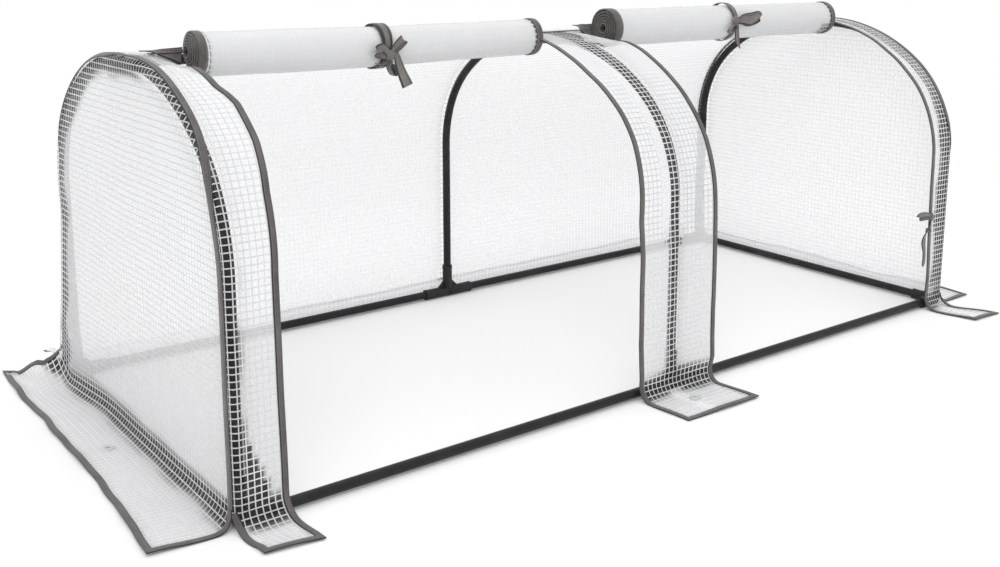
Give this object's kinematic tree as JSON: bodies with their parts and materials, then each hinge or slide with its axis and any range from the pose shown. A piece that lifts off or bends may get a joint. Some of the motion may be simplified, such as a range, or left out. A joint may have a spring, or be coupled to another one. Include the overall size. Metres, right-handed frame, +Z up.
{
  "type": "row cover tunnel",
  "caption": "Low row cover tunnel: black tube hoops in moulded connectors, under a taped scrim-film cover with two front doors rolled up and tied, and fold-out ground skirts with eyelets.",
  "frame": {"origin": "centre of the base frame, on the ground", "axes": "+X along the tunnel to its right end, -Y out of the open front, +Z up"},
  "size_m": [1.816, 0.896, 0.6332],
  "materials": {
    "tube": "satin black powder coat",
    "plastic": "matt black moulding",
    "film": "clear film laminated over a white scrim of 10 mm squares",
    "tape": "woven taupe binding tape and ribbon",
    "clear": "clear moulded eyelet"
  },
  "bodies": {
    "frame_and_cover": {"corner_connector_front_left": "plastic", "corner_connector_front_right": "plastic", "corner_connector_back_left": "plastic", "corner_connector_back_right": "plastic", "t_connector_front": "plastic", "t_connector_back": "plastic", "ridge_connector_left": "plastic", "ridge_connector_middle": "plastic", "ridge_connector_right": "plastic", "base_tube_front_left": "tube", "base_tube_front_right": "tube", "base_tube_back_left": "tube", "base_tube_back_right": "tube", "base_tube_left_end": "tube", "base_tube_right_end": "tube", "hoop_tube_left_front": "tube", "hoop_tube_left_back": "tube", "hoop_tube_middle_front": "tube", "hoop_tube_middle_back": "tube", "hoop_tube_right_front": "tube", "hoop_tube_right_back": "tube", "ridge_tube_left": "tube", "ridge_tube_right": "tube", "roof_back_panel": "film", "end_panel_left": "film", "end_panel_right": "film", "front_strip_left": "film", "front_strip_middle": "film", "front_strip_right": "film", "arch_binding_left": "tape", "arch_binding_right": "tape", "ridge_binding": "tape", "strip_binding_left": "tape", "strip_binding_middle_left": "tape", "strip_binding_middle_right": "tape", "strip_binding_right": "tape", "side_tie_right": "tape"},
    "skirt_left_body": {"skirt_left": "film", "skirt_hem_left": "tape", "eyelet_left": "clear"},
    "skirt_right_body": {"skirt_right": "film", "skirt_hem_right": "tape", "eyelet_right": "clear"},
    "skirt_back_body": {"skirt_back": "film", "skirt_hem_back": "tape", "eyelet_back": "clear"},
    "flap_left_body": {"front_flap_left": "film", "flap_hem_left": "tape"},
    "flap_middle_body": {"front_flap_middle": "film", "flap_hem_middle": "tape", "eyelet_front": "clear"},
    "flap_right_body": {"front_flap_right": "film", "flap_hem_right": "tape"},
    "door_roll_left_body": {"door_roll_left": "film", "door_tie_left": "tape"},
    "door_roll_right_body": {"door_roll_right": "film", "door_tie_right": "tape"}
  },
  "joints": [
    {"name": "skirt_left_fold", "type": "hinge", "parent": "frame_and_cover", "child": "skirt_left_body", "pos_m": [-0.8385, 0, 0.002], "axis": [0, 1, 0], "range_deg": [0, 90]},
    {"name": "skirt_right_fold", "type": "hinge", "parent": "frame_and_cover", "child": "skirt_right_body", "pos_m": [0.8385, 0, 0.002], "axis": [0, -1, 0], "range_deg": [0, 90]},
    {"name": "skirt_back_fold", "type": "hinge", "parent": "frame_and_cover", "child": "skirt_back_body", "pos_m": [0, 0.3785, 0.002], "axis": [1, 0, 0], "range_deg": [0, 90]},
    {"name": "flap_left_fold", "type": "hinge", "parent": "frame_and_cover", "child": "flap_left_body", "pos_m": [-0.77105, -0.3785, 0.002], "axis": [-1, 0, 0], "range_deg": [0, 90]},
    {"name": "flap_middle_fold", "type": "hinge", "parent": "frame_and_cover", "child": "flap_middle_body", "pos_m": [0, -0.3785, 0.002], "axis": [-1, 0, 0], "range_deg": [0, 90]},
    {"name": "flap_right_fold", "type": "hinge", "parent": "frame_and_cover", "child": "flap_right_body", "pos_m": [0.77105, -0.3785, 0.002], "axis": [-1, 0, 0], "range_deg": [0, 90]},
    {"name": "door_roll_left_flip", "type": "hinge", "parent": "frame_and_cover", "child": "door_roll_left_body", "pos_m": [-0.41, -0.03, 0.5989], "axis": [-1, 0, 0], "range_deg": [0, 85]},
    {"name": "door_roll_right_flip", "type": "hinge", "parent": "frame_and_cover", "child": "door_roll_right_body", "pos_m": [0.41, -0.03, 0.5989], "axis": [-1, 0, 0], "range_deg": [0, 85]}
  ]
}
